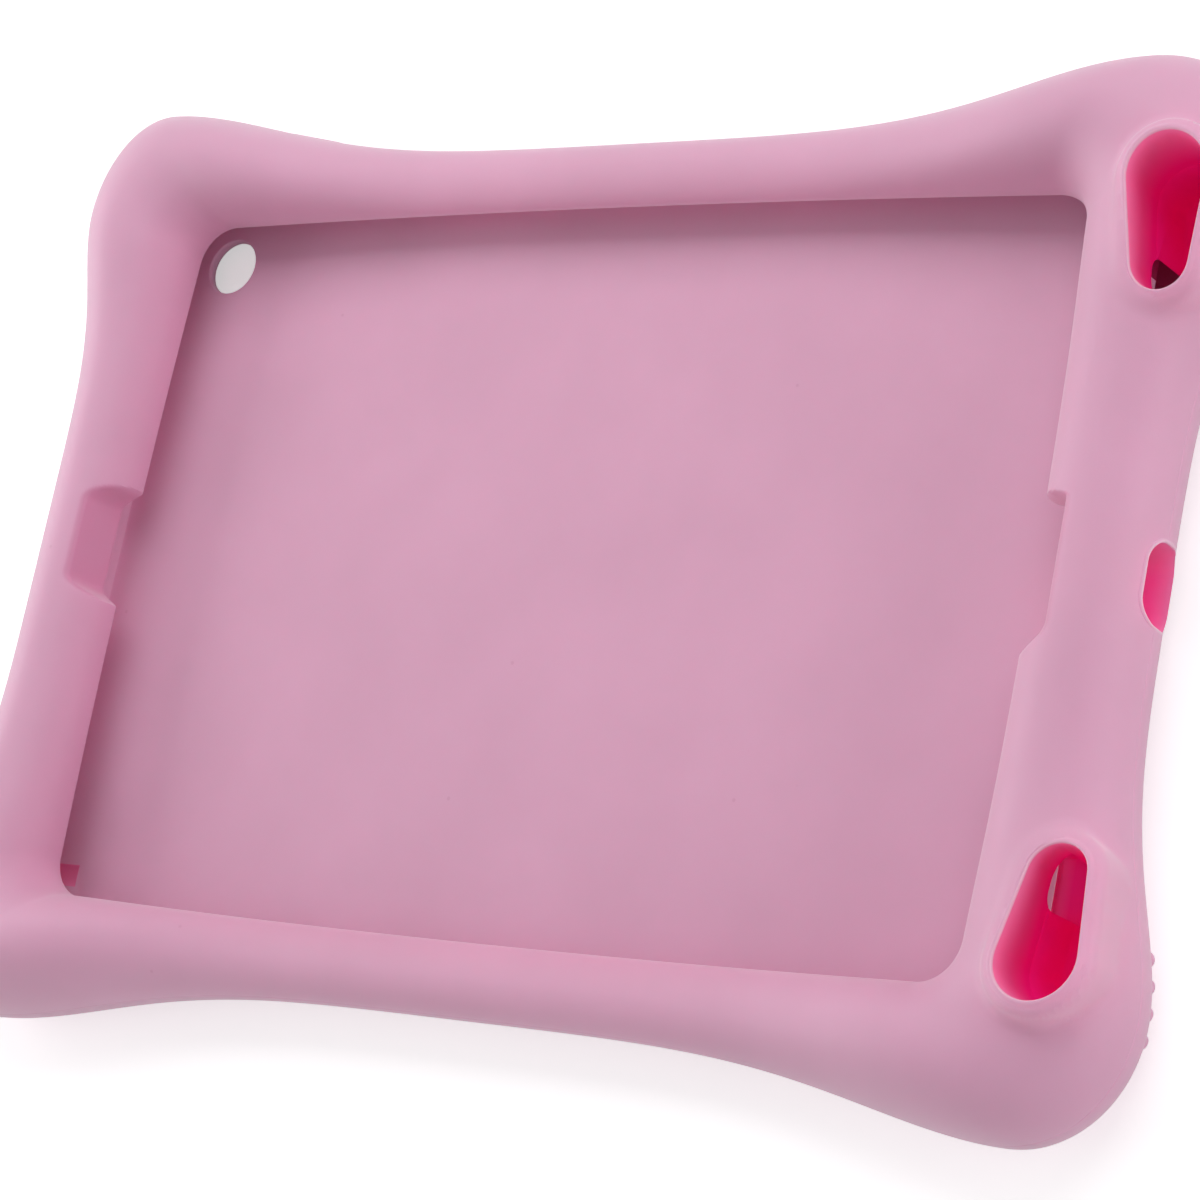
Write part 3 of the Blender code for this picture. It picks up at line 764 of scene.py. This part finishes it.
def makeFloor():
    bm = bmesh.new()
    bmesh.ops.create_grid(bm, x_segments=1, y_segments=1, size=studio["floorSize"] / 2)
    floor = meshObject("floor", bm)
    material = bpy.data.materials.new("floorWhite")
    material.use_nodes = True
    nodes, links = material.node_tree.nodes, material.node_tree.links
    shader = nodes["Principled BSDF"]
    shader.inputs["Base Color"].default_value = studio["floorColour"]
    shader.inputs["Roughness"].default_value = 0.9
    shader.inputs["Specular IOR Level"].default_value = 0.2
    shader.inputs["Emission Color"].default_value = (1, 1, 1, 1)
    path = nodes.new("ShaderNodeLightPath")
    glow = nodes.new("ShaderNodeMath")
    glow.operation = "MULTIPLY"
    glow.inputs[1].default_value = studio["floorGlow"]
    links.new(path.outputs["Is Camera Ray"], glow.inputs[0])
    links.new(glow.outputs["Value"], shader.inputs["Emission Strength"])
    floor.data.materials.append(material)


def makeWorld():
    world = bpy.data.worlds.new("studio")
    world.use_nodes = True
    nodes, links = world.node_tree.nodes, world.node_tree.links
    soft = nodes["Background"]
    soft.inputs["Color"].default_value = (1, 1, 1, 1)
    soft.inputs["Strength"].default_value = studio["worldStrength"]
    white = nodes.new("ShaderNodeBackground")
    white.inputs["Strength"].default_value = 1
    path = nodes.new("ShaderNodeLightPath")
    seen = path.outputs["Is Camera Ray"]
    for ray in ("Is Glossy Ray", "Is Transmission Ray"):
        either = nodes.new("ShaderNodeMath")
        either.operation = "MAXIMUM"
        links.new(seen, either.inputs[0])
        links.new(path.outputs[ray], either.inputs[1])
        seen = either.outputs["Value"]
    both = nodes.new("ShaderNodeMixShader")
    links.new(seen, both.inputs["Fac"])
    links.new(soft.outputs["Background"], both.inputs[1])
    links.new(white.outputs["Background"], both.inputs[2])
    links.new(both.outputs["Shader"], nodes["World Output"].inputs["Surface"])
    bpy.context.scene.world = world


makeFloor()
makeWorld()
softLamp("topBox", (0.0, 0.8, 0.9), (0, 0, 0), (1.6, 0.8), studio["topPower"])
softLamp("leftBox", (-1.1, 0.0, 0.4), (0, 0, 0), (1.2, 0.7), studio["leftPower"])
softLamp("rightBox", (1.1, 0.1, 0.25), (0, 0, 0), (1.2, 0.45), studio["rightPower"])
softLamp("frontBox", (0.0, -1.1, 0.4), (0, 0, 0), (1.6, 0.7), studio["frontPower"])
print("studio done")


# Camera, solved from the window of the case
view = {
    "lens": 104.454, "x": 0.41718, "y": -0.17636, "z": 0.57139,
    "right": (0.8288, 0.1921, -0.5255), "up": (-0.0289, 0.9526, 0.3027), "back": (0.5588, -0.2357, 0.7951),
}


def makeCamera():
    data = bpy.data.cameras.new("camera")
    data.sensor_width = 36
    data.lens = view["lens"]
    data.clip_end = 20
    camera = bpy.data.objects.new("camera", data)
    turn = Matrix((view["right"], view["up"], view["back"])).transposed()
    camera.rotation_euler = turn.to_euler()
    camera.location = (view["x"] + case["middleX"] / 1000, view["y"], view["z"] + case["glassZ"] / 1000)
    bpy.context.scene.collection.objects.link(camera)
    bpy.context.scene.camera = camera


makeCamera()
bpy.context.scene.view_settings.view_transform = "Standard"
bpy.context.view_layer.update()
